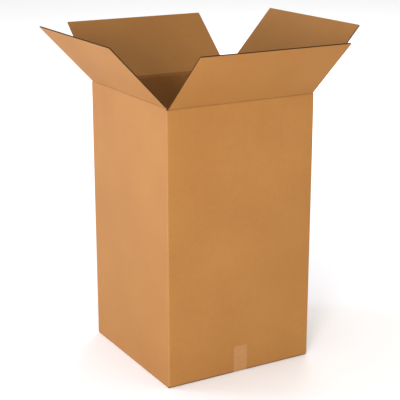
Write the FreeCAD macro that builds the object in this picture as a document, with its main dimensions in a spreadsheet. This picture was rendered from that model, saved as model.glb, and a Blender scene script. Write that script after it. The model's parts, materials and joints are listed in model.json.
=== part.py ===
import FreeCAD, Part
import os

import Sketcher

# An open regular slotted box of single-wall corrugated board, with its four top
# flaps folded outwards and its bottom flaps shut and taped.
# Millimetres, Z up, origin at the centre of the base. The front wall, which shows
# the end of the tape, faces -Y and the left wall faces -X.

# Driving dimensions: name, value and what it measures.
SIZES = [
    ("inside_width", 508.0, "between the left and right walls"),
    ("inside_depth", 508.0, "between the front and back walls"),
    ("inside_height", 864.0, "from the bottom flaps to the closed inner top flaps"),
    ("board", 4.0, "thickness of the corrugated board"),
    ("liner", 0.3, "thickness of each facing sheet of the board"),
    ("medium", 0.3, "thickness of the fluted sheet between the facings"),
    ("flute_pitch", 7.8, "from one flute to the next"),
    ("flute_root", 0.5, "half width of a flute channel at its narrow side"),
    ("flute_web", 0.5, "fluted sheet between two channels, measured along the board"),
    ("cut_edge", 1.0, "closed board left beside the last flute channel"),
    ("crush_band", 9.0, "board pressed flat beside a flap's crease"),
    ("side_gap", 1.0, "from the end of a closed inner flap to the wall beside it"),
    ("slot_depth", 1.0, "how far a corner slot runs past the folded board"),
    ("seam_gap", 2.0, "between the free edges of two closed flaps"),
    ("layer_gap", 0.25, "air between a closed inner flap and the outer flap on it"),
    ("crease_gap", 0.1, "from the wall's face out to the line that its flap turns about"),
    ("crease_clearance", 0.3, "from that line to the board above and below it"),
    ("fold_radius", 3.0, "outside radius of an upright corner"),
    ("inner_radius", 1.0, "inside radius of an upright corner"),
    ("crease_radius", 2.0, "outside radius of a folded bottom flap"),
    ("tab_width", 35.0, "width of the glued tab inside the back wall"),
    ("tab_clearance", 12.0, "from the tab's ends to the bottom and the closed flaps"),
    ("tab_slant", 10.0, "how much shorter the tab is along its free edge"),
    ("groove_width", 1.5, "opening between the back wall's cut edge and the tab's fold"),
    ("groove_depth", 2.5, "how far that opening reaches along the right wall"),
    ("tape_width", 50.0, "width of the sealing tape"),
    ("tape_thickness", 0.1, "thickness of the sealing tape"),
    ("tape_lap", 90.0, "how high the tape laps up the front and back walls"),
    ("front_flap_angle", 46.3, "how far the front flap leans outwards from upright, degrees"),
    ("back_flap_angle", 48.9, "how far the back flap leans outwards from upright, degrees"),
    ("left_flap_angle", 43.4, "how far the left flap leans outwards from upright, degrees"),
    ("right_flap_angle", 41.7, "how far the right flap leans outwards from upright, degrees"),
]

# Places that follow from the driving dimensions.
HALF_WIDTH = "(Sizes.inside_width / 2 + Sizes.board)"
HALF_DEPTH = "(Sizes.inside_depth / 2 + Sizes.board)"
INSET = "(Sizes.board + Sizes.side_gap)"
PANEL_WIDTH = f"(2 * {HALF_WIDTH} - 2 * {INSET})"
PANEL_DEPTH = f"(2 * {HALF_DEPTH} - 2 * {INSET})"
OUTER_BASE = "Sizes.tape_thickness"
INNER_BASE = f"({OUTER_BASE} + Sizes.board + Sizes.layer_gap)"
FLOOR = f"({INNER_BASE} + Sizes.board)"
INNER_CREASE = f"({FLOOR} + Sizes.inside_height + Sizes.board + Sizes.crease_gap)"
OUTER_CREASE = f"({INNER_CREASE} + Sizes.board + Sizes.layer_gap)"
INNER_WALL_TOP = f"({INNER_CREASE} - Sizes.crease_clearance)"
OUTER_WALL_TOP = f"({OUTER_CREASE} - Sizes.crease_clearance)"
SLOT_TOP = f"({INNER_WALL_TOP} - Sizes.slot_depth)"
SLOT_BOTTOM = f"({INNER_BASE} + Sizes.crease_radius + Sizes.slot_depth)"

OVERRUN = 1.0  # how far a cutting shape reaches into the air beside the board
SHORTEST_FOLD = 100.0  # edges that are folds are longer, and those at the slots are shorter
TOUCHING = 0.01  # places closer than this are the same

doc = FreeCAD.newDocument("OpenBox")
sheet = doc.addObject("Spreadsheet::Sheet", "Sizes")
for row, (name, size, meaning) in enumerate(SIZES, start=1):
    sheet.set(f"A{row}", meaning)
    sheet.set(f"B{row}", str(size))
    sheet.setAlias(f"B{row}", name)
doc.recompute()


def number(expression):
    """Value of an expression of the sheet's sizes."""
    return float(sheet.evalExpression(expression))


def new_sketch(body, name, role, offset=None):
    """Sketch on one of the body's own origin planes, moved along its normal by offset."""
    sketch = body.newObject("Sketcher::SketchObject", name)
    plane = next(item for item in body.Origin.OriginFeatures if item.Role == role)
    sketch.AttachmentSupport = (plane, [""])
    sketch.MapMode = "FlatFace"
    if offset is not None:
        sketch.setExpression("AttachmentOffset.Base.z", offset)
    return sketch


def add_outline(sketch, corners):
    """Closed outline of straight lines whose corners are pairs of expressions."""
    first = sketch.GeometryCount
    places = [FreeCAD.Vector(number(across), number(up), 0) for across, up in corners]
    count = len(corners)
    for index in range(count):
        line = Part.LineSegment(places[index], places[(index + 1) % count])
        sketch.addGeometry(line, False)
    for index, (across, up) in enumerate(corners):
        line = first + index
        following = first + (index + 1) % count
        sketch.addConstraint(Sketcher.Constraint("Coincident", line, 2, following, 1))
        for kind, expression in (("DistanceX", across), ("DistanceY", up)):
            value = number(expression)
            placed = sketch.addConstraint(Sketcher.Constraint(kind, -1, 1, line, 1, value))
            sketch.setExpression(f"Constraints[{placed}]", expression)


def mirrored(corners):
    """The same outline on the other side of the sketch's vertical axis."""
    return [(f"-({across})", up) for across, up in reversed(corners)]


def add_pad(body, name, sketch, length, both_ways=False, backwards=False):
    pad = body.newObject("PartDesign::Pad", name)
    pad.Profile = sketch
    pad.setExpression("Length", length)
    pad.SideType = "Symmetric" if both_ways else "One side"
    pad.Reversed = backwards
    doc.recompute()
    return pad


def add_pocket(body, name, sketch, length, both_ways=False, backwards=False):
    """Pocket that has to take board away."""
    before = body.Shape.Volume
    pocket = body.newObject("PartDesign::Pocket", name)
    pocket.Profile = sketch
    pocket.setExpression("Length", length)
    pocket.SideType = "Symmetric" if both_ways else "One side"
    pocket.Reversed = backwards
    doc.recompute()
    if body.Shape.Volume >= before:
        raise RuntimeError(f"{name} cuts nothing")
    return pocket


def add_fillet(body, name, is_edge, radius):
    """Round the edges of the body whose middle and direction pass the test."""
    base = body.Tip
    found = []
    for index, edge in enumerate(base.Shape.Edges, start=1):
        run = edge.Vertexes[-1].Point - edge.Vertexes[0].Point
        if run.Length > SHORTEST_FOLD and is_edge(edge.CenterOfMass, run):
            found.append(f"Edge{index}")
    if not found:
        raise RuntimeError(f"{name} finds no edge")
    fillet = body.newObject("PartDesign::Fillet", name)
    fillet.Base = (base, found)
    fillet.setExpression("Radius", radius)
    doc.recompute()
    return fillet


def near(first, second):
    return abs(first - second) < TOUCHING


def new_body(name):
    body = doc.addObject("PartDesign::Body", name)
    body.Label = name
    return body


def build_walls(body):
    """Four walls as one ring, open at the joint where the sheet's ends were glued."""
    ring = new_sketch(body, "RingSketch", "XY_Plane", INNER_BASE)
    joint = f"({HALF_DEPTH} - Sizes.board)"
    add_outline(ring, [
        (f"-{HALF_WIDTH}", f"-{HALF_DEPTH}"),
        (HALF_WIDTH, f"-{HALF_DEPTH}"),
        (HALF_WIDTH, f"{joint} - Sizes.groove_depth"),
        (f"{HALF_WIDTH} - Sizes.groove_width", joint),
        (HALF_WIDTH, joint),
        (HALF_WIDTH, HALF_DEPTH),
        (f"-{HALF_WIDTH}", HALF_DEPTH),
    ])
    inner_x = "Sizes.inside_width / 2"
    inner_y = "Sizes.inside_depth / 2"
    add_outline(ring, [
        (f"-{inner_x}", f"-{inner_y}"),
        (inner_x, f"-{inner_y}"),
        (inner_x, inner_y),
        (f"-{inner_x}", inner_y),
    ])
    add_pad(body, "Walls", ring, f"{OUTER_WALL_TOP} - {INNER_BASE}")

    def outer_fold(middle, run):
        at_corner = near(abs(middle.x), number(HALF_WIDTH)) and near(abs(middle.y), number(HALF_DEPTH))
        return near(run.x, 0) and near(run.y, 0) and at_corner and not (middle.x > 0 and middle.y > 0)

    def inner_fold(middle, run):
        at_corner = near(abs(middle.x), number(inner_x)) and near(abs(middle.y), number(inner_y))
        return near(run.x, 0) and near(run.y, 0) and at_corner and not (middle.x > 0 and middle.y > 0)

    add_fillet(body, "OuterFolds", outer_fold, "Sizes.fold_radius")
    add_fillet(body, "InnerFolds", inner_fold, "Sizes.inner_radius")


def build_tab(body):
    """Tab of the right wall, folded round the corner and glued inside the back wall."""
    tab = new_sketch(body, "TabSketch", "XZ_Plane", "-Sizes.inside_depth / 2")
    root = "Sizes.inside_width / 2"
    low = f"({FLOOR} + Sizes.tab_clearance)"
    high = f"({FLOOR} + Sizes.inside_height - Sizes.tab_clearance)"
    add_outline(tab, [
        (root, low),
        (f"{root} - Sizes.tab_width", f"{low} + Sizes.tab_slant"),
        (f"{root} - Sizes.tab_width", f"{high} - Sizes.tab_slant"),
        (root, high),
    ])
    add_pad(body, "GlueTab", tab, "Sizes.board")


def build_bottom(body):
    """Inner bottom flaps from the front and back walls, outer ones from the sides."""
    inner = new_sketch(body, "InnerBottomSketch", "YZ_Plane")
    inner_flap = [
        (f"-{HALF_DEPTH}", INNER_BASE),
        ("-Sizes.seam_gap / 2", INNER_BASE),
        ("-Sizes.seam_gap / 2", FLOOR),
        (f"-{HALF_DEPTH}", FLOOR),
    ]
    add_outline(inner, inner_flap)
    add_outline(inner, mirrored(inner_flap))
    add_pad(body, "InnerBottomFlaps", inner, PANEL_WIDTH, both_ways=True)

    outer = new_sketch(body, "OuterBottomSketch", "XZ_Plane")
    outer_flap = [
        (f"-{HALF_WIDTH}", OUTER_BASE),
        ("-Sizes.seam_gap / 2", OUTER_BASE),
        ("-Sizes.seam_gap / 2", f"{OUTER_BASE} + Sizes.board"),
        ("-Sizes.inside_width / 2", f"{OUTER_BASE} + Sizes.board"),
        ("-Sizes.inside_width / 2", SLOT_BOTTOM),
        (f"-{HALF_WIDTH}", SLOT_BOTTOM),
    ]
    add_outline(outer, outer_flap)
    add_outline(outer, mirrored(outer_flap))
    add_pad(body, "OuterBottomFlaps", outer, PANEL_DEPTH, both_ways=True)


def cut_crease(body, name, role, wall_face, wall_top, length):
    """Slope the tops of two opposite walls down inwards, so that a shut flap clears them."""
    slope = new_sketch(body, f"{name}Sketch", role)
    inner_end = f"(-{wall_face} + Sizes.board + {OVERRUN})"
    above = f"({OUTER_WALL_TOP} + {OVERRUN})"
    corner = [
        (f"-{wall_face} - {OVERRUN}", wall_top),
        (f"-{wall_face}", wall_top),
        (inner_end, f"{wall_top} - Sizes.board - {OVERRUN}"),
        (inner_end, above),
        (f"-{wall_face} - {OVERRUN}", above),
    ]
    add_outline(slope, corner)
    add_outline(slope, mirrored(corner))
    add_pocket(body, name, slope, length, both_ways=True)


def cut_corners(body, name, level, length, upwards):
    """Square notches where the slots between the flaps end at the four corners."""
    notches = new_sketch(body, f"{name}Sketch", "XY_Plane", level)
    for sign_x in ("-", ""):
        for sign_y in ("-", ""):
            near_x = f"{sign_x}({HALF_WIDTH} - {INSET})"
            far_x = f"{sign_x}({HALF_WIDTH} + {OVERRUN})"
            near_y = f"{sign_y}({HALF_DEPTH} - {INSET})"
            far_y = f"{sign_y}({HALF_DEPTH} + {OVERRUN})"
            notch = [(near_x, near_y), (far_x, near_y), (far_x, far_y), (near_x, far_y)]
            add_outline(notches, notch)
    add_pocket(body, name, notches, length, backwards=upwards)


def build_box():
    body = new_body("box_body")
    build_walls(body)
    build_bottom(body)
    cut_corners(body, "TopSlots", SLOT_TOP, f"{OUTER_WALL_TOP} - {SLOT_TOP}", upwards=True)
    cut_corners(body, "BottomSlots", SLOT_BOTTOM, f"{SLOT_BOTTOM} - {INNER_BASE}", upwards=False)
    cut_crease(body, "FrontBackCrease", "YZ_Plane", HALF_DEPTH, INNER_WALL_TOP, PANEL_WIDTH)
    cut_crease(body, "LeftRightCrease", "XZ_Plane", HALF_WIDTH, OUTER_WALL_TOP, PANEL_DEPTH)
    build_tab(body)

    def inner_flap_fold(middle, run):
        at_edge = near(abs(middle.y), number(HALF_DEPTH)) and near(middle.z, number(INNER_BASE))
        return at_edge and near(run.y, 0)

    def outer_flap_fold(middle, run):
        at_edge = near(abs(middle.x), number(HALF_WIDTH)) and near(middle.z, number(OUTER_BASE))
        return at_edge and near(run.x, 0)

    add_fillet(body, "InnerBottomFolds", inner_flap_fold, "Sizes.crease_radius")
    add_fillet(body, "OuterBottomFolds", outer_flap_fold, "Sizes.crease_radius")
    return body


def cut_flutes(body, panel_length, flap_length):
    """Channels on both sides of the fluted sheet, open at the flap's free edge.

    One sketch holds a pair of neighbouring channels, wide at one facing and narrow
    at the other, and the pattern repeats it along the flap.
    """
    wide = "(Sizes.flute_pitch / 2 - Sizes.flute_web - Sizes.flute_root)"
    spare = f"{panel_length} - 2 * Sizes.cut_edge - 2 * {wide}"
    count = f"floor(({spare}) / Sizes.flute_pitch + 0.5)"
    start = f"(-({count} - 0.5) * Sizes.flute_pitch / 2)"
    outer_face = "Sizes.crease_gap"
    inner_face = "(Sizes.crease_gap + Sizes.board)"

    pair = new_sketch(body, "FluteSketch", "XY_Plane", flap_length)
    channels = (
        (start, f"{outer_face} + Sizes.liner", f"{inner_face} - Sizes.liner - Sizes.medium"),
        (f"({start} + Sizes.flute_pitch / 2)", f"{inner_face} - Sizes.liner",
         f"{outer_face} + Sizes.liner + Sizes.medium"),
    )
    for middle, wide_side, narrow_side in channels:
        add_outline(pair, [
            (f"{middle} - {wide}", wide_side),
            (f"{middle} + {wide}", wide_side),
            (f"{middle} + Sizes.flute_root", narrow_side),
            (f"{middle} - Sizes.flute_root", narrow_side),
        ])
    channel = add_pocket(body, "FlutePair", pair, f"{flap_length} - Sizes.crush_band")

    flutes = body.newObject("PartDesign::LinearPattern", "Flutes")
    flutes.Originals = [channel]
    flutes.Direction = (pair, ["H_Axis"])
    flutes.Mode = "Spacing"
    flutes.setExpression("Offset", "Sizes.flute_pitch")
    flutes.setExpression("Occurrences", count)
    body.Tip = flutes
    doc.recompute()


def build_flap(name, turn, across, along, crease_height, panel_length, reach, lean):
    """Top flap, drawn upright over its crease line and placed leaning outwards.

    The origin of the drawing lies on the crease line, with Y into the box.
    """
    flap_length = f"({reach} + Sizes.crease_gap - Sizes.seam_gap / 2)"
    outer_face = "Sizes.crease_gap"
    inner_face = "(Sizes.crease_gap + Sizes.board)"
    foot = "Sizes.crease_clearance"
    body = new_body(name)
    section = new_sketch(body, "SectionSketch", "YZ_Plane")
    add_outline(section, [
        (outer_face, foot),
        (inner_face, f"{foot} + Sizes.board"),
        (inner_face, flap_length),
        (outer_face, flap_length),
    ])
    add_pad(body, "Panel", section, panel_length, both_ways=True)
    cut_flutes(body, panel_length, flap_length)
    body.setExpression("Placement.Base.x", across)
    body.setExpression("Placement.Base.y", along)
    body.setExpression("Placement.Base.z", crease_height)
    body.setExpression("Placement.Rotation.Yaw", turn)
    body.setExpression("Placement.Rotation.Roll", lean)
    doc.recompute()
    return body


def build_flaps():
    """Front and back flaps close first, and the left and right ones lie on them."""
    front_line = f"({HALF_DEPTH} + Sizes.crease_gap)"
    side_line = f"({HALF_WIDTH} + Sizes.crease_gap)"
    return [
        build_flap("top_flap_front", "0", "0", f"-{front_line}", INNER_CREASE,
                   PANEL_WIDTH, HALF_DEPTH, "Sizes.front_flap_angle"),
        build_flap("top_flap_back", "180", "0", front_line, INNER_CREASE,
                   PANEL_WIDTH, HALF_DEPTH, "Sizes.back_flap_angle"),
        build_flap("top_flap_left", "-90", f"-{side_line}", "0", OUTER_CREASE,
                   PANEL_DEPTH, HALF_WIDTH, "Sizes.left_flap_angle"),
        build_flap("top_flap_right", "90", side_line, "0", OUTER_CREASE,
                   PANEL_DEPTH, HALF_WIDTH, "Sizes.right_flap_angle"),
    ]


def build_tape():
    """Tape along the bottom seam, lapped up the front and back walls.

    Between the outer bottom flaps' cut ends and the walls it spans a small step.
    """
    body = new_body("sealing_tape")
    run = new_sketch(body, "TapeSketch", "YZ_Plane")
    flap_end = f"({HALF_DEPTH} - {INSET})"
    leaves_wall = f"({INNER_BASE} + Sizes.crease_radius / 2)"
    against_board = [
        (f"-{HALF_DEPTH}", "Sizes.tape_lap"),
        (f"-{HALF_DEPTH}", leaves_wall),
        (f"-{flap_end}", OUTER_BASE),
    ]
    outside = [
        (f"-{flap_end} - Sizes.tape_thickness", "0"),
        (f"-{HALF_DEPTH} - Sizes.tape_thickness", leaves_wall),
        (f"-{HALF_DEPTH} - Sizes.tape_thickness", "Sizes.tape_lap"),
    ]
    add_outline(run, against_board + mirrored(against_board) + mirrored(outside) + outside)
    add_pad(body, "Tape", run, "Sizes.tape_width", both_ways=True)
    return body


def check_document():
    for item in doc.Objects:
        if "Invalid" in item.State or "Error" in item.State:
            raise RuntimeError(f"{item.Name} failed: {item.State}")


def export(pieces):
    os.makedirs("parts", exist_ok=True)
    for piece in pieces:
        shape = piece.Shape
        if shape.isNull() or not shape.isValid() or len(shape.Solids) != 1:
            raise RuntimeError(f"{piece.Label} is not one valid solid")
    for piece in pieces:
        piece.Shape.exportStep(f"parts/{piece.Label}.step")
        print(f"{piece.Label}: {piece.Shape.Volume / 1000:.1f} cm3")


pieces = [build_box(), *build_flaps(), build_tape()]
doc.recompute()
check_document()
export(pieces)
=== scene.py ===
import json
import math
from collections import namedtuple

import bpy
import numpy as np
from mathutils import Matrix, Vector, noise


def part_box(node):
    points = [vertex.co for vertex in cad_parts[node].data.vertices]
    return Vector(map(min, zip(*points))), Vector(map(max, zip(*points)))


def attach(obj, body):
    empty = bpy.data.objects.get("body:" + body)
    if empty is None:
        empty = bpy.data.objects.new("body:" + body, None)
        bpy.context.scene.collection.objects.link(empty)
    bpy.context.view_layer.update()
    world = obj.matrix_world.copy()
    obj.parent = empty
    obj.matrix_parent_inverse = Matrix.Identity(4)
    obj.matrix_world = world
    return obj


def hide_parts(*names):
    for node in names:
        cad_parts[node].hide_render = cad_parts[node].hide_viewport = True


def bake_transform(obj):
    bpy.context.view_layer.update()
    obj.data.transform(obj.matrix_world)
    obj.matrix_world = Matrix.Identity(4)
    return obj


# The looks of an open cardboard box, in metres, in the frame's own places.

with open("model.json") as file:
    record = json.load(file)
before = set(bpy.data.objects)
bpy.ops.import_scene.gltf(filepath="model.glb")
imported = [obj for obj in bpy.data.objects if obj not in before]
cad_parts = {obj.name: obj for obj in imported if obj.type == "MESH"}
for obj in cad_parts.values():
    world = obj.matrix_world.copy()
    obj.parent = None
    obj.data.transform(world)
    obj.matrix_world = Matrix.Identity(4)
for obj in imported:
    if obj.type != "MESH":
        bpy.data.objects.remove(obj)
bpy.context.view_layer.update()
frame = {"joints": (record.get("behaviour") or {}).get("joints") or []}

MM = 0.001
SHARP_ANGLE = math.radians(32)

# Sizes read from the frame.
BODY_LOW, BODY_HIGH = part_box("box_body")
_, TAPE_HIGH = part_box("sealing_tape")
HALF_WIDTH = BODY_HIGH.x
HALF_DEPTH = BODY_HIGH.y
JOINTS = {joint["child"]: joint for joint in frame["joints"]}
INNER_CREASE = JOINTS["front_flap"]["pos_m"][2]
OUTER_CREASE = JOINTS["left_flap"]["pos_m"][2]
CREASE_GAP = -JOINTS["front_flap"]["pos_m"][1] - HALF_DEPTH

# Sizes of the board, as the solids have them.
BOARD = 4.0 * MM
FLUTE_PITCH = 7.8 * MM
LAYER_GAP = 0.25 * MM  # between a closed inner flap and the outer flap on it
SIDE_GAP = 1.0 * MM  # from the end of a closed inner flap to the wall beside it
SEAM_GAP = 2.0 * MM  # between the free edges of two closed flaps
SLOT_DEPTH = 1.0 * MM  # how far a corner slot runs past the folded board
CREASE_CLEARANCE = 0.3 * MM  # from a crease's line to the board above and below it
CREASE_RADIUS = 2.0 * MM  # outside radius of a folded bottom flap
FOLD_RADIUS = 3.0 * MM  # outside radius of an upright corner
CRUSH_BAND = 9.0 * MM  # board pressed flat beside a flap's crease
TAB_WIDTH = 35.0 * MM
TAB_CLEARANCE = 12.0 * MM  # from the tab's ends to the bottom and the closed flaps
TAB_SLANT = 10.0 * MM  # how much shorter the tab is along its free edge

# Places that follow from them.
INSET = BOARD + SIDE_GAP
OUTER_BASE = BODY_LOW.z
INNER_BASE = OUTER_BASE + BOARD + LAYER_GAP
INSIDE_FLOOR = INNER_BASE + BOARD
SLOT_TOP = INNER_CREASE - CREASE_CLEARANCE - SLOT_DEPTH
SLOT_BOTTOM = INNER_BASE + CREASE_RADIUS + SLOT_DEPTH
FLAP_LENGTH = HALF_DEPTH + CREASE_GAP - SEAM_GAP / 2
PANEL = 2 * (HALF_WIDTH - INSET)
FRONT_MIDDLE = 5 * HALF_WIDTH  # on the flat sheet, from the back wall's cut edge

# Finer sizes of the folded sheet, which only the looks have.
INNER_RADIUS = 0.8 * MM
CORNER_DIP = 0.15 * MM  # how far the facing sinks in round an upright corner
FOLD_CRUSH = 0.22 * MM  # how far the scoring wheel pressed the facing beside a fold
FOLD_BAND = 7.0 * MM  # how far from the fold that reaches
FOLD_WEAR_BAND = 6.0 * MM
SLOT_EDGE = 0.05 * MM  # width in which the walls' height steps down into a slot
FLAT_BAND = 6.0 * MM  # how near its folds a wall stays flat
TAB_GLUE = 0.05 * MM  # between the tab and the back wall
TAB_CRUSH = 0.5 * MM  # how far the knife pressed the tab's free edge together
TAB_CRUSH_BAND = 2.0 * MM
TAB_OUTER_CRUSH = 0.2  # how much of that its glued face shares
TAB_START = 5.0 * MM  # where the tab starts on the sheet, past its fold
WALL_DENT = 0.9 * MM
WALL_SWAY = {"front": 0.9 * MM, "back": -0.8 * MM, "left": -0.7 * MM, "right": 0.8 * MM}

# Finer sizes of the flaps and their creases.
LINER = 0.32 * MM
MEDIUM = 0.24 * MM
CREASE_REACH = BOARD + 0.4 * MM  # from a crease's middle to the end of its scored board
PINCH = 0.35 * MM  # how far the knife pressed the facings together at a cut end
PINCH_BAND = 2.5 * MM
PINCH_START = 4.0 * MM  # how far from the crease's board that takes to reach its full depth
RIM_BAND = 2.0 * MM  # how far from its free edge a facing is ragged and bent
FACING_RAG = 0.3 * MM
FACING_BEND = 0.15 * MM
MEDIUM_RAG = 0.35 * MM
MEDIUM_RAG_BAND = 12.0 * MM  # how far from its free edge the fluted sheet is ragged
MEDIUM_SETBACK = 0.4 * MM  # from the facings' free edge to the fluted sheet's
MEDIUM_END_GAP = 0.1 * MM  # from the fluted sheet to the pinched ends
MEDIUM_ROOT = 1.0 * MM  # how far the fluted sheet runs into the crushed board
MEDIUM_AIR = 0.01 * MM  # between the fluted sheet and a facing
FOOT_END_GAP = 0.3 * MM  # from the crushed board's ends to the facings'
FLUTE_STEPS = 12  # points along one flute

# A score's two faces from its middle to its end: millimetres in from the board's outer
# face, and the share of the way along.
OUTER_SCORE = [(1.0, 0.0), (0.85, 0.10), (0.35, 0.27), (0.05, 0.55), (0.0, 1.0)]
INNER_SCORE = [(2.3, 0.0), (2.45, 0.14), (2.95, 0.36), (3.7, 0.72), (4.0, 1.0)]

# Steps of the meshes along and up the board, where nothing calls for finer ones.
WALL_STEP = 22.0 * MM
TAB_STEP = 6.0 * MM
BOTTOM_STEP = 40.0 * MM
FACING_STEP = 20.0 * MM
FOOT_STEP = 60.0 * MM
CREASE_STEP = 12.0 * MM

# Finer sizes of the tape: its film, its sawn and torn ends, and how it lies on the wall.
TAPE_FILM = 0.08 * MM
TAPE_TOOTH = 1.1 * MM
TAPE_RAG = 0.3 * MM
TAPE_TEAR = 2.4 * MM
TAPE_TEAR_WIDTH = 7.0 * MM
TAPE_AIR = 0.03 * MM
TAPE_WRINKLE = 0.05 * MM
TAPE_WORN_EDGE = 1.2 * MM

# The walls in their order on the sheet, with the way each runs and the way it faces.
WALLS = {
    "back": (Vector((-1, 0)), Vector((0, 1))),
    "left": (Vector((0, -1)), Vector((-1, 0))),
    "front": (Vector((1, 0)), Vector((0, -1))),
    "right": (Vector((0, 1)), Vector((1, 0))),
}

# The top flaps' bodies, with their solids and their turn about Z from the front.
FLAPS = {
    "front_flap": ("top_flap_front", 0),
    "right_flap": ("top_flap_right", 90),
    "back_flap": ("top_flap_back", 180),
    "left_flap": ("top_flap_left", 270),
}

# Colours of the paper and the film, in sRGB from 0 to 255.
KRAFT_PALE = (161, 113, 58)
KRAFT_DEEP = (141, 92, 43)
KRAFT_FLECK = (120, 82, 50)
KRAFT_SCUFF = (188, 141, 93)
# Painted shade along a crease's score.
SCORE_SHADE = (104, 64, 30)
CUT_PAPER = (128, 90, 54)
# Painted shade in the open flutes of a cut rim.
FLUTE_HOLLOW_SHADE = (58, 36, 20)
# The fluted sheet, darkened below the kraft's own colour as painted shade.
MEDIUM_SHADED_PALE = (88, 60, 38)
MEDIUM_SHADED_DEEP = (60, 40, 25)
FILM_PALE = (164, 116, 69)
FILM_DEEP = (153, 105, 58)
FILM_WORN = (139, 93, 48)

# Grain of the paper and the film: streaks a metre along the board's width and height.
FIBRE_GRAIN = (90.0, 1400.0, 1.0)
CROSS_GRAIN = (1500.0, 160.0, 1.0)
FILM_GRAIN = (700.0, 18.0, 1.0)

# The stage. Each lamp has a name, place, power in watts, radius and colour.
FLOOR_HALF_SIDE = 30.0
FLOOR_GREY = 0.96
ROOM_LIGHT = 0.91
LAMPS = [
    ("key", (-3.1, -3.5, 1.3), 650, 0.7, (1.0, 1.0, 1.0)),
    ("rim", (-3.6, 2.6, 0.8), 370, 0.8, (0.92, 1.02, 1.4)),
    ("back", (3.2, 3.8, 1.7), 260, 1.2, (1.0, 1.0, 1.0)),
]

# The photograph's camera. Its focal length is in pixels of a frame of PHOTO_SIDE.
PHOTO_SIDE = 400
PHOTO_FOCAL = 1130.0
CAMERA_YAW = math.radians(-29.87)
CAMERA_PITCH = math.radians(16.48)
CAMERA_PLACE = Vector((-1.7593, -3.0631, 1.5496))
SENSOR = 36.0


# Shared by all the pieces

def soft_noise(x, y, z, scale, seed):
    """Smooth noise from -1 to 1 whose bumps are about 1/scale metres wide."""
    return noise.noise(Vector((x * scale + seed, y * scale - seed, z * scale + 2 * seed)))


def fading(distance, band):
    """1 at no distance, falling evenly to 0 at the band's end."""
    return max(0.0, 1 - distance / band)


def spread(low, high, step, fine=()):
    """Stations from low to high, about a step apart, with finer ones beside both ends."""
    count = max(2, round((high - low) / step))
    stations = set(np.linspace(low, high, count + 1).round(7))
    for distance in fine:
        stations.add(round(low + distance, 7))
        stations.add(round(high - distance, 7))
    return np.array(sorted(stations))


def make_piece(name, shells, body, materials):
    """One object of several closed shells, with its materials. A body of None leaves it attached
    to no body.

    A shell is a dict of points, faces, one material index a face (looks), and for each
    point its place on the sheet, how worn it is, and its depth in the board from 0 to 1.
    """
    points, faces, looks, places, wear, depth = [], [], [], [], [], []
    for shell in shells:
        start = len(points)
        points.extend(shell["points"])
        places.extend(shell["places"])
        wear.extend(shell["wear"])
        depth.extend(shell["depth"])
        looks.extend(shell["looks"])
        faces.extend(tuple(start + corner for corner in face) for face in shell["faces"])
    mesh = bpy.data.meshes.new(name)
    mesh.from_pydata([tuple(map(float, point)) for point in points], [], faces)
    for material in materials:
        mesh.materials.append(material)
    mesh.polygons.foreach_set("material_index", looks)
    mesh.polygons.foreach_set("use_smooth", [True] * len(faces))
    mesh.set_sharp_from_angle(angle=SHARP_ANGLE)
    corners = np.zeros(len(mesh.loops), np.int32)
    mesh.loops.foreach_get("vertex_index", corners)
    board_map = mesh.uv_layers.new(name="board")
    board_map.data.foreach_set("uv", np.array(places, np.float32)[corners].ravel())
    for attribute, values in (("wear", wear), ("depth", depth)):
        layer = mesh.attributes.new(attribute, "FLOAT", "POINT")
        layer.data.foreach_set("value", np.array(values, np.float32))
    mesh.validate()
    piece = bpy.data.objects.new(name, mesh)
    bpy.context.scene.collection.objects.link(piece)
    if body is not None:
        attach(piece, body)
    return piece


def sheet_grids(columns, rows):
    """Empty grids for a sheet: points of its front and back, places on the sheet, wear."""
    shape = (columns, rows)
    return np.zeros((*shape, 3)), np.zeros((*shape, 3)), np.zeros((*shape, 2)), np.zeros(shape)


def sheet_shell(front, back, places, wear, looks=(0, 0, 0), cut=True):
    """Closed shell between two grids of points, joined along their rims.

    looks are the material indices of the front, the back and the rims. Where the rims are
    cut board, the depth runs across them from 0 to 1.
    """
    columns, rows = front.shape[:2]
    count = columns * rows

    def at(side, column, row):
        return side * count + column * rows + row

    faces = []
    for c in range(columns - 1):
        for r in range(rows - 1):
            faces.append((at(0, c, r), at(0, c + 1, r), at(0, c + 1, r + 1), at(0, c, r + 1)))
            faces.append((at(1, c, r), at(1, c, r + 1), at(1, c + 1, r + 1), at(1, c + 1, r)))
    sides = [looks[0], looks[1]] * (len(faces) // 2)
    top, end = rows - 1, columns - 1
    for c in range(columns - 1):
        faces.append((at(0, c, 0), at(1, c, 0), at(1, c + 1, 0), at(0, c + 1, 0)))
        faces.append((at(0, c, top), at(0, c + 1, top), at(1, c + 1, top), at(1, c, top)))
    for r in range(rows - 1):
        faces.append((at(0, 0, r), at(0, 0, r + 1), at(1, 0, r + 1), at(1, 0, r)))
        faces.append((at(0, end, r), at(1, end, r), at(1, end, r + 1), at(0, end, r + 1)))
    return {
        "points": np.concatenate([front.reshape(-1, 3), back.reshape(-1, 3)]),
        "places": np.concatenate([places.reshape(-1, 2)] * 2),
        "wear": np.concatenate([wear.ravel()] * 2),
        "depth": np.repeat([0.0, 1.0 if cut else 0.0], count),
        "faces": faces,
        "looks": sides + [looks[2]] * (len(faces) - len(sides)),
    }


def bar_shell(section, stations, offset=0.0):
    """Closed shell of a section carried along stations on the X axis.

    The section is a list of (y, z, place down the board, depth in the board), and offset
    is where the piece starts on the sheet.
    """
    size, count = len(section), len(stations)
    faces = [tuple(range(size - 1, -1, -1)), tuple(range((count - 1) * size, count * size))]
    for s in range(count - 1):
        for c in range(size):
            following = (c + 1) % size
            faces.append((s * size + c, s * size + following,
                          (s + 1) * size + following, (s + 1) * size + c))
    return {
        "points": [(station, y, z) for station in stations for y, z, _, _ in section],
        "places": [(station + offset, down) for station in stations for _, _, down, _ in section],
        "wear": [0.0] * (size * count),
        "depth": [depth for _ in stations for _, _, _, depth in section],
        "faces": faces,
        "looks": [0] * len(faces),
    }


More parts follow.
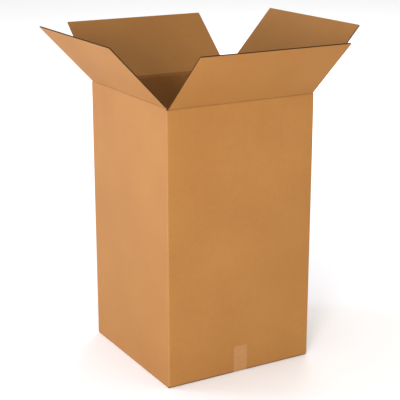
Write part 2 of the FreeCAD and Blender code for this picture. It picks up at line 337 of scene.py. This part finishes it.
def moved(shell, matrix):
    """The same shell, carried by a matrix."""
    rotation = np.array(matrix.to_3x3())
    shift = np.array(matrix.translation)
    points = np.array(shell["points"]) @ rotation.T + shift
    return {**shell, "points": points}


# The walls, as the one folded sheet that they are. The box is square, so each of them is
# as wide as the front.

# A column of the walls, seen from above: its points on the outer and inner face, its side
# ("fold" and "tab" count as sides), its place along that side, whether a corner slot cuts
# it short, how worn it is, and its place along the flat sheet.
Column = namedtuple("Column", "outer inner side place in_slot wear along")


def bulge(side, across, height):
    """How far a wall stands out of its flat plane: slack board, straight at its folds."""
    rise = max(0.0, min(1.0, height / INNER_CREASE))
    edge = max(0.0, 1 - (across / (HALF_WIDTH - FLAT_BAND)) ** 2)
    dent = soft_noise(across, height, 0.3, scale=5.0, seed=3.0 + len(side)) * WALL_DENT
    return edge * math.sin(math.pi * rise) * (WALL_SWAY[side] + dent)


def panel_columns(side, run):
    """Columns of one wall, which starts at run on the flat sheet."""
    heading, outward = WALLS[side]
    inner = HALF_WIDTH - BOARD
    slot = HALF_WIDTH - INSET
    first = -HALF_WIDTH if side == "back" else -HALF_WIDTH + FOLD_RADIUS
    last = HALF_WIDTH - FOLD_RADIUS - (BOARD if side == "right" else 0.0)
    fine = [0.4 * MM, 1.2 * MM, 2.4 * MM, 4.0 * MM, 6.5 * MM, 10 * MM, 15 * MM]
    stations = set(spread(-slot, slot, WALL_STEP, fine))
    for place in (first, last, -slot - SLOT_EDGE, slot + SLOT_EDGE):
        if first <= place <= last:
            stations.add(round(place, 7))
    columns = []
    for place in sorted(stations):
        from_fold = HALF_WIDTH - abs(place)
        dip = FOLD_CRUSH * fading(from_fold, FOLD_BAND) ** 2
        inner_place = max(-inner + INNER_RADIUS, min(inner - INNER_RADIUS, place))
        columns.append(Column(
            outer=heading * place + outward * (HALF_WIDTH - dip),
            inner=heading * inner_place + outward * inner,
            side=side,
            place=place,
            in_slot=abs(place) > slot + SLOT_EDGE / 2,
            wear=fading(from_fold, FOLD_WEAR_BAND),
            along=run + place + HALF_WIDTH,
        ))
    return columns


def fold_columns(side, run):
    """Columns round the fold at the end of a wall, which lies at run on the flat sheet."""
    heading, outward = WALLS[side]
    centre = (heading + outward) * (HALF_WIDTH - FOLD_RADIUS)
    inner_centre = (heading + outward) * (HALF_WIDTH - BOARD - INNER_RADIUS)
    columns = []
    for turn in np.radians([15, 30, 45, 60, 75]):
        way = outward * math.cos(turn) + heading * math.sin(turn)
        columns.append(Column(
            outer=centre + way * (FOLD_RADIUS - CORNER_DIP),
            inner=inner_centre + way * INNER_RADIUS,
            side="fold",
            place=0.0,
            in_slot=True,
            wear=1.0,
            along=run + math.sin(turn - math.pi / 4) * FOLD_RADIUS,
        ))
    return columns


def tab_columns(run):
    """Columns of the fold into the glued tab, and of the tab along the back wall."""
    joint = HALF_DEPTH - BOARD - TAB_GLUE
    centre = Vector((HALF_WIDTH - FOLD_RADIUS, joint - FOLD_RADIUS))
    inner_centre = Vector((HALF_WIDTH - BOARD - INNER_RADIUS, joint - BOARD - INNER_RADIUS))
    columns = []
    for turn in np.radians([20, 45, 70, 90]):
        way = Vector((math.cos(turn), math.sin(turn)))
        columns.append(Column(
            outer=centre + way * FOLD_RADIUS,
            inner=inner_centre + way * INNER_RADIUS,
            side="tab",
            place=0.0,
            in_slot=True,
            wear=0.6,
            along=run + turn * FOLD_RADIUS,
        ))
    root = HALF_WIDTH - BOARD
    for place in spread(2.0 * MM, TAB_WIDTH, TAB_STEP, [0.8 * MM]):
        crush = TAB_CRUSH * fading(TAB_WIDTH - place, TAB_CRUSH_BAND)
        columns.append(Column(
            outer=Vector((root - place, joint - crush * TAB_OUTER_CRUSH)),
            inner=Vector((root - place, joint - BOARD + crush)),
            side="tab",
            place=place,
            in_slot=False,
            wear=0.0,
            along=run + place + TAB_START,
        ))
    return columns


def wall_columns():
    """All the columns, from the back wall's cut edge round to the tab's free edge."""
    columns = []
    run = 0.0
    for side in WALLS:
        columns += panel_columns(side, run)
        run += 2 * HALF_WIDTH
        if side != "right":
            columns += fold_columns(side, run)
    return columns + tab_columns(run)


def column_ends(column):
    """Bottom and top of a column."""
    if column.side == "tab":
        share = max(0.0, min(1.0, column.place / TAB_WIDTH))
        inset = TAB_CLEARANCE + TAB_SLANT * share
        return INSIDE_FLOOR + inset, INNER_CREASE - BOARD - inset
    if column.in_slot:
        return SLOT_BOTTOM, SLOT_TOP
    if column.side in ("front", "back"):
        return INNER_BASE + CREASE_RADIUS, INNER_CREASE - CREASE_REACH
    return OUTER_BASE + CREASE_RADIUS, OUTER_CREASE - CREASE_REACH


def wall_shell():
    """The four walls and the tab as one sheet."""
    columns = wall_columns()
    shares = spread(0.0, 1.0, 0.045, [0.002, 0.006, 0.012, 0.022])
    outer, inner, places, wear = sheet_grids(len(columns), len(shares))
    for c, column in enumerate(columns):
        low, top = column_ends(column)
        for r, share in enumerate(shares):
            height = low + (top - low) * share
            stand = np.zeros(2)
            if column.side in WALLS:
                _, outward = WALLS[column.side]
                stand = np.array(outward) * bulge(column.side, column.place, height)
            outer[c, r] = (*(np.array(column.outer) + stand), height)
            inner[c, r] = (*(np.array(column.inner) + stand), height)
            places[c, r] = (column.along, height)
            wear[c, r] = column.wear
    return sheet_shell(outer, inner, places, wear)


def bottom_section(base):
    """Section of the front's bottom flap, from the foot of its wall to the seam."""
    section = []
    for turn in np.radians([0, 18, 36, 54, 72, 90]):
        out = HALF_DEPTH - CREASE_RADIUS * (1 - math.cos(turn))
        height = base + CREASE_RADIUS * (1 - math.sin(turn))
        section.append((-out, height, out - HALF_DEPTH, 0.0))
    seam = SEAM_GAP / 2
    inner_face = HALF_DEPTH - BOARD
    section += [
        (-seam, base, seam - HALF_DEPTH, 0.0),
        (-seam, base + BOARD, seam - HALF_DEPTH, 1.0),
        (-inner_face, base + BOARD, -BOARD, 1.0),
        (-inner_face, base + CREASE_RADIUS, 0.0, 1.0),
    ]
    return section


def bottom_shells():
    """The four bottom flaps: front and back inside, left and right outside."""
    shells = []
    stations = spread(-PANEL / 2, PANEL / 2, BOTTOM_STEP)
    for turn, base in ((0, INNER_BASE), (180, INNER_BASE), (90, OUTER_BASE), (270, OUTER_BASE)):
        shell = bar_shell(bottom_section(base), stations)
        shells.append(moved(shell, Matrix.Rotation(math.radians(turn), 4, "Z")))
    return shells


# The top flaps, of two facings with the fluted sheet between them

def flap_lean(body):
    """How far a flap leans outwards from upright at rest: its shut limit is level."""
    return math.radians(-JOINTS[body]["range_deg"][0] - 90)


def flap_matrix(body, lean):
    """Carries the upright drawing of a flap, with its crease on the X axis, to its place."""
    turn = Matrix.Rotation(math.radians(FLAPS[body][1]), 4, "Z")
    place = Matrix.Translation(Vector(JOINTS[body]["pos_m"]))
    return place @ turn @ Matrix.Rotation(lean, 4, "X")


def flap_offset(body):
    """Where a flap starts on the sheet, past the walls."""
    return 3.0 + FLAPS[body][1] / 90


def facing_shell(outer, seed, offset):
    """One facing sheet of a flap, whose back is towards the flutes. outer picks which."""
    stations = spread(-PANEL / 2, PANEL / 2, FLUTE_PITCH / 2, [0.5 * MM, 1.2 * MM, 2.5 * MM])
    rows = spread(CREASE_REACH, FLAP_LENGTH, FACING_STEP, [0.6 * MM, 1.6 * MM, 4 * MM])
    inwards = 1 if outer else -1
    face = CREASE_GAP + (0.0 if outer else BOARD)
    front, back, places, wear = sheet_grids(len(stations), len(rows))
    for c, x in enumerate(stations):
        pinch = PINCH * fading(PANEL / 2 - abs(x), PINCH_BAND) ** 2
        ragged = FACING_RAG * (0.5 + 0.5 * soft_noise(x, 0, 0, scale=160.0, seed=seed))
        bent = FACING_BEND * (0.5 + 0.5 * soft_noise(x, 1, 0, scale=60.0, seed=seed))
        for r, z in enumerate(rows):
            rim = fading(FLAP_LENGTH - z, RIM_BAND)
            press = pinch * min(1.0, (z - CREASE_REACH) / PINCH_START) + bent * rim
            front[c, r] = (x, face + inwards * press, z - ragged * rim)
            back[c, r] = (x, face + inwards * (press + LINER), z - ragged * rim)
            places[c, r] = (x + offset, z)
            wear[c, r] = 0.3 * rim
    if not outer:
        front, back, places, wear = front[::-1], back[::-1], places[::-1], wear[::-1]
    return sheet_shell(front, back, places, wear, looks=(0, 1, 1), cut=False)


def medium_shell(seed, offset):
    """The fluted sheet, a wave that touches both facings. It stops short of the cut ends."""
    reach = PANEL / 2 - PINCH_BAND - MEDIUM_END_GAP
    count = math.floor(2 * reach / FLUTE_PITCH * FLUTE_STEPS) + 1
    stations = np.linspace(-reach, reach, count)
    rows = np.array([CRUSH_BAND - MEDIUM_ROOT, FLAP_LENGTH - MEDIUM_RAG_BAND,
                     FLAP_LENGTH - MEDIUM_SETBACK])
    swing = BOARD / 2 - LINER - MEDIUM / 2 - MEDIUM_AIR
    front, back, places, wear = sheet_grids(len(stations), len(rows))
    for c, x in enumerate(stations):
        turn = 2 * math.pi * x / FLUTE_PITCH
        middle = CREASE_GAP + BOARD / 2 + swing * math.cos(turn)
        slope = -swing * 2 * math.pi / FLUTE_PITCH * math.sin(turn)
        side = np.array([-slope, 1, 0]) / math.hypot(1, slope) * MEDIUM / 2
        ragged = MEDIUM_RAG * (0.5 + 0.5 * soft_noise(x, 2, 0, scale=260.0, seed=seed))
        for r, z in enumerate(rows):
            height = z - (ragged if r == len(rows) - 1 else 0)
            front[c, r] = np.array([x, middle, height]) - side
            back[c, r] = np.array([x, middle, height]) + side
            places[c, r] = (x + offset, z)
    return sheet_shell(front, back, places, wear, looks=(1, 1, 1), cut=False)


def foot_shell(offset):
    """The crushed board between the facings, from the crease to where the flutes are open."""
    near, far = CREASE_GAP + LINER, CREASE_GAP + BOARD - LINER
    section = [
        (far, CREASE_REACH, CREASE_REACH, 0.5),
        (far, CRUSH_BAND, CRUSH_BAND, 0.5),
        (near, CRUSH_BAND, CRUSH_BAND, 0.5),
        (near, CREASE_REACH, CREASE_REACH, 0.5),
    ]
    stations = spread(-PANEL / 2 + FOOT_END_GAP, PANEL / 2 - FOOT_END_GAP, FOOT_STEP)
    return bar_shell(section, stations, offset)


def build_flap(body, materials):
    """A flap's facings, fluted sheet and foot, which replace its solid."""
    node, turn = FLAPS[body]
    offset = flap_offset(body)
    shells = [
        facing_shell(True, 11.0 + turn, offset),
        facing_shell(False, 17.0 + turn, offset),
        medium_shell(23.0 + turn, offset),
        foot_shell(offset),
    ]
    matrix = flap_matrix(body, flap_lean(body))
    piece = make_piece(f"{body}_board", [moved(shell, matrix) for shell in shells], body,
                       materials)
    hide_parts(node)


def score_profile(score, depth):
    """One face of a score, from the wall's end of it to the flap's."""
    upper = [(press * MM, share, depth) for press, share in score]
    lower = [(press, -share, depth) for press, share, _ in upper[:0:-1]]
    return lower + upper


def crease_section(lean):
    """Section of the scored board across a top crease, about the line that it turns on.

    Upright it is pressed in from both faces. Each of its points is then turned by its
    share of the flap's lean, which grows smoothly from the wall to the flap.
    """
    section = []
    outline = score_profile(OUTER_SCORE, 0.0) + score_profile(INNER_SCORE, 1.0)[::-1]
    for press, share, depth in outline:
        out, up = CREASE_GAP + press, share * CREASE_REACH
        blend = (share + 1) / 2
        angle = lean * blend * blend * (3 - 2 * blend)
        section.append((out * math.cos(angle) - up * math.sin(angle),
                        out * math.sin(angle) + up * math.cos(angle), up, depth))
    return section[::-1]


def build_crease(body, materials):
    """The scored board across a top crease, bent from the box to the flap at the flap's rest lean
    and attached to no body.
    """
    lean = flap_lean(body)
    stations = spread(-PANEL / 2, PANEL / 2, CREASE_STEP)
    shell = bar_shell(crease_section(lean), stations, flap_offset(body))
    upright = flap_matrix(body, 0.0)
    piece = make_piece(f"{body}_crease", [moved(shell, upright)], None, materials)
    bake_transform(piece)


# The tape

def tape_path():
    """The tape's line against the board, from the front lap's end to the back lap's.

    Each point is (on a wall or not, y, z).
    """
    flap_end = HALF_DEPTH - INSET
    heights = np.linspace(TAPE_HIGH.z, INNER_BASE + CREASE_RADIUS / 2, 16)
    front = [(True, -HALF_DEPTH, height) for height in heights]
    bottom = [(False, (2 * share - 1) * flap_end, OUTER_BASE) for share in np.linspace(0, 1, 15)]
    back = [(True, HALF_DEPTH, height) for height in heights[::-1]]
    return front + bottom + back


def tape_end(x, y, z, tooth):
    """Height of the tape's sawn end at x, with a tear at one corner of the front one."""
    tear = TAPE_TEAR * fading(x + TAPE_HIGH.x, TAPE_TEAR_WIDTH) if y < 0 else 0.0
    return z - tooth - tear - TAPE_RAG * abs(soft_noise(x, y, 0, scale=90.0, seed=5.0))


def tape_stand(x, y, height):
    """How far the tape stands out of the flat plane of the wall that it is stuck to."""
    wall, across = ("front", x) if y < 0 else ("back", -x)
    wrinkle = TAPE_WRINKLE * max(0.0, soft_noise(x, y, height, scale=45.0, seed=9.0))
    return bulge(wall, across, height) + TAPE_AIR + wrinkle


def build_tape(materials):
    """The sealing tape under the box and up its front and back walls."""
    path = tape_path()
    half = TAPE_HIGH.x
    stations = np.linspace(half, -half, 51)
    outside, inside, places, wear = sheet_grids(len(stations), len(path))
    for c, x in enumerate(stations):
        for r, (on_wall, y, z) in enumerate(path):
            height = z
            if r in (0, len(path) - 1):
                height = tape_end(x, y, z, TAPE_TOOTH * (c % 2))
            if on_wall:
                outwards = -1 if y < 0 else 1
                stand = tape_stand(x, y, height)
                inside[c, r] = (x, y + outwards * stand, height)
                outside[c, r] = (x, y + outwards * (stand + TAPE_FILM), height)
            else:
                inside[c, r] = (x, y, z)
                outside[c, r] = (x, y, z - TAPE_FILM)
            places[c, r] = (FRONT_MIDDLE + x, height)
            wear[c, r] = 1.0 if abs(x) > half - TAPE_WORN_EDGE else 0.0
    shell = sheet_shell(outside, inside, places, wear)
    piece = make_piece("tape_strip", [shell], "box", materials)
    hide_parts("sealing_tape")


# Materials

class Shader:
    """A material's node tree, with a short way to add and link nodes."""

    def __init__(self, name):
        self.material = bpy.data.materials.new(name)
        self.material.use_nodes = True
        self.tree = self.material.node_tree
        self.surface = self.tree.nodes["Principled BSDF"]

    def fill(self, node, inputs):
        """Links each input that is a socket, and sets each that is a value."""
        for key, value in inputs.items():
            if isinstance(value, bpy.types.NodeSocket):
                self.tree.links.new(value, node.inputs[key])
            else:
                node.inputs[key].default_value = value

    def add(self, kind, inputs=None, **settings):
        """Adds a node of a kind, with its inputs filled and its settings made."""
        node = self.tree.nodes.new(kind)
        for key, value in settings.items():
            setattr(node, key, value)
        self.fill(node, inputs or {})
        return node

    def object_place(self):
        return self.add("ShaderNodeTexCoord").outputs["Object"]

    def board_place(self):
        """Place on the flat sheet."""
        return self.add("ShaderNodeUVMap", uv_map="board").outputs["UV"]

    def attribute(self, name):
        """A value that the mesh holds for each of its points."""
        return self.add("ShaderNodeAttribute", attribute_name=name).outputs["Fac"]

    def math(self, operation, *values):
        return self.add("ShaderNodeMath", dict(enumerate(values)), operation=operation).outputs[0]

    def total(self, terms):
        """Sum of values, each times its weight."""
        first, *others = [self.math("MULTIPLY", value, weight) for value, weight in terms]
        for other in others:
            first = self.math("ADD", first, other)
        return first

    def flute_wave(self, across):
        """From -1 to 1 and back for each flute that lies under the facing."""
        return self.math("SINE", self.math("MULTIPLY", across, 2 * math.pi / FLUTE_PITCH))

    def noise(self, place, scale, detail=2.0, roughness=0.5):
        node = self.add("ShaderNodeTexNoise", {
            "Vector": place, "Scale": scale, "Detail": detail, "Roughness": roughness})
        return node.outputs["Fac"]

    def grain(self, board, scales, detail, roughness=0.5):
        """Noise drawn out into streaks along the board."""
        node = self.add("ShaderNodeVectorMath", {0: board, 1: scales}, operation="MULTIPLY")
        return self.noise(node.outputs[0], 1.0, detail, roughness)

    def ramp(self, value, low, high, out_low=0.0, out_high=1.0):
        """Value carried from the range low to high into out_low to out_high, and held there."""
        node = self.add("ShaderNodeMapRange", {
            "Value": value, "From Min": low, "From Max": high,
            "To Min": out_low, "To Max": out_high})
        return node.outputs["Result"]

    def mix(self, share, first, second):
        """Colour a share of the way from the first to the second."""
        node = self.add("ShaderNodeMix", {0: share, 6: first, 7: second}, data_type="RGBA")
        return node.outputs[2]

    def finish(self, colour, roughness, specular, relief=None):
        """Sets the surface and returns the material. relief is a height in metres."""
        self.fill(self.surface, {
            "Base Color": colour, "Roughness": roughness, "Specular IOR Level": specular})
        if relief is not None:
            bump = self.add("ShaderNodeBump", {"Height": relief, "Distance": 1.0, "Strength": 1.0})
            self.fill(self.surface, {"Normal": bump.outputs["Normal"]})
        return self.material


def rgb(colour):
    """Linear colour of an sRGB colour in 0 to 255."""
    def linear(value):
        share = value / 255
        return share / 12.92 if share <= 0.04045 else ((share + 0.055) / 1.055) ** 2.4
    return (*map(linear, colour), 1.0)


def kraft_material(name, scored=False):
    """Brown kraft facing: cloudy pulp, fibres along the machine's way, and faint flute lines,
    which are painted shade of the washboard ripple beside its bump.

    Cut rims show the flutes, with painted shade in their hollows. On a crease the score has
    painted shade: a darker line.
    """
    s = Shader(name)
    place = s.object_place()
    board = s.board_place()
    on_board = s.add("ShaderNodeSeparateXYZ", {0: board})
    wave = s.flute_wave(on_board.outputs[0])
    pulp = s.noise(place, 95.0, 4.0, 0.6)
    fibres = s.grain(board, FIBRE_GRAIN, 3.0, 0.6)
    patterns = [
        (s.noise(place, 5.0, 3.0), 0.14),
        (pulp, 0.11),
        (fibres, 0.12),
        (s.grain(board, CROSS_GRAIN, 2.0, 0.6), 0.07),
    ]
    # The flute wave in the tone is painted shade of the washboard ripple; the relief below also
    # bumps it.
    tone = s.total([(s.ramp(pattern, 0.3, 0.7, -1, 1), weight) for pattern, weight in patterns]
                   + [(wave, 0.035)])
    colour = s.mix(s.math("ADD", tone, 0.5), rgb(KRAFT_DEEP), rgb(KRAFT_PALE))
    flecks = s.ramp(s.noise(place, 900.0, 1.0), 0.70, 0.78, 0.0, 0.35)
    colour = s.mix(flecks, colour, rgb(KRAFT_FLECK))
    if scored:
        # Painted shade: a darker line down the middle of the score.
        from_score = s.math("ABSOLUTE", on_board.outputs[1])
        line = s.ramp(from_score, 0.3 * MM, 2.4 * MM, 0.45, 0.0)
        colour = s.mix(line, colour, rgb(SCORE_SHADE))
    scuffs = s.ramp(s.noise(place, 260.0, 3.0), 0.35, 0.65, 0.0, 0.25)
    colour = s.mix(s.math("MULTIPLY", s.attribute("wear"), scuffs), colour, rgb(KRAFT_SCUFF))

    # On a cut rim the depth runs from 0 to 1, and the fluted sheet swings across it. The hollows
    # beside the sheet get painted shade.
    depth = s.attribute("depth")
    middle = s.math("MULTIPLY", s.math("MULTIPLY", depth, s.math("SUBTRACT", 1.0, depth)), 4.0)
    swing = s.math("SUBTRACT", s.math("MULTIPLY", s.math("ADD", wave, 1.0), 0.42), 0.08)
    from_sheet = s.math("ABSOLUTE", s.math("SUBTRACT", depth, s.math("ADD", swing, 0.16)))
    cut = s.mix(s.ramp(from_sheet, 0.05, 0.14), rgb(CUT_PAPER), rgb(FLUTE_HOLLOW_SHADE))
    colour = s.mix(s.ramp(middle, 0.28, 0.38), colour, cut)

    relief = s.total([
        (wave, 0.018 * MM),
        (pulp, 0.03 * MM),
        (fibres, 0.012 * MM),
        (s.noise(place, 14.0), 0.2 * MM),
    ])
    return s.finish(colour, s.ramp(pulp, 0.3, 0.7, 0.66, 0.8), 0.2, relief)


def shaded_medium_material():
    """The fluted sheet and the backs and cut rims of the facings: rougher paper, darkened below
    the kraft's own colour as painted shade.
    """
    s = Shader("fluting_paper_painted_shade")
    pulp = s.noise(s.object_place(), 400.0, 4.0, 0.6)
    colour = s.mix(s.ramp(pulp, 0.3, 0.7), rgb(MEDIUM_SHADED_DEEP), rgb(MEDIUM_SHADED_PALE))
    return s.finish(colour, s.ramp(pulp, 0.3, 0.7, 0.85, 0.95), 0.2,
                    s.math("MULTIPLY", pulp, 0.04 * MM))


def tape_material():
    """Tan film over kraft, with flute lines under it, pockets of air and worn edges."""
    s = Shader("tan_film")
    board = s.board_place()
    wave = s.flute_wave(s.add("ShaderNodeSeparateXYZ", {0: board}).outputs[0])
    air = s.noise(s.object_place(), 70.0, 4.0, 0.6)
    streaks = s.grain(board, FILM_GRAIN, 2.0)
    share = s.total([(s.ramp(air, 0.35, 0.65), 0.6), (streaks, 0.4)])
    colour = s.mix(share, rgb(FILM_DEEP), rgb(FILM_PALE))
    colour = s.mix(s.math("MULTIPLY", s.attribute("wear"), 0.4), colour, rgb(FILM_WORN))
    relief = s.total([(wave, 0.015 * MM), (air, 0.05 * MM)])
    return s.finish(colour, s.ramp(air, 0.3, 0.7, 0.34, 0.48), 0.45, relief)


# Stage, light and camera

def build_floor():
    """A wide pale floor at the box's foot."""
    side = FLOOR_HALF_SIDE
    mesh = bpy.data.meshes.new("floor")
    mesh.from_pydata([(-side, -side, 0), (side, -side, 0), (side, side, 0), (-side, side, 0)],
                     [], [(0, 1, 2, 3)])
    floor = bpy.data.objects.new("floor", mesh)
    bpy.context.scene.collection.objects.link(floor)
    pale = (FLOOR_GREY, FLOOR_GREY, FLOOR_GREY, 1.0)
    mesh.materials.append(Shader("pale_floor").finish(pale, 0.9, 0.1))


def build_light():
    """A white room with round soft lamps, which the camera doesn't see."""
    world = bpy.data.worlds.new("studio")
    world.use_nodes = True
    background = world.node_tree.nodes["Background"]
    background.inputs["Color"].default_value = (1.0, 1.0, 1.0, 1.0)
    background.inputs["Strength"].default_value = ROOM_LIGHT
    bpy.context.scene.world = world
    for name, place, power, radius, colour in LAMPS:
        data = bpy.data.lights.new(name, "POINT")
        data.energy = power
        data.shadow_soft_size = radius
        data.color = colour
        lamp = bpy.data.objects.new(name, data)
        lamp.location = place
        lamp.visible_camera = False
        bpy.context.scene.collection.objects.link(lamp)
    bpy.context.scene.view_settings.view_transform = "Standard"


def build_camera():
    """The camera at the photograph's place."""
    data = bpy.data.cameras.new("camera")
    data.sensor_width = SENSOR
    data.lens = PHOTO_FOCAL / PHOTO_SIDE * SENSOR
    camera = bpy.data.objects.new("camera", data)
    camera.location = CAMERA_PLACE
    camera.rotation_euler = (math.pi / 2 - CAMERA_PITCH, 0, CAMERA_YAW)
    bpy.context.scene.collection.objects.link(camera)
    bpy.context.scene.camera = camera


kraft = kraft_material("kraft_facing")
# The crease's material, with painted shade along its score.
score = kraft_material("kraft_score_shaded", scored=True)
# The fluted paper, darkened as painted shade.
shaded_medium = shaded_medium_material()
film = tape_material()

walls = make_piece("box_walls", [wall_shell(), *bottom_shells()], "box", [kraft])
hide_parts("box_body")
for body_name in FLAPS:
    build_flap(body_name, [kraft, shaded_medium])
    build_crease(body_name, [score])
build_tape([film])
build_floor()
build_light()
build_camera()
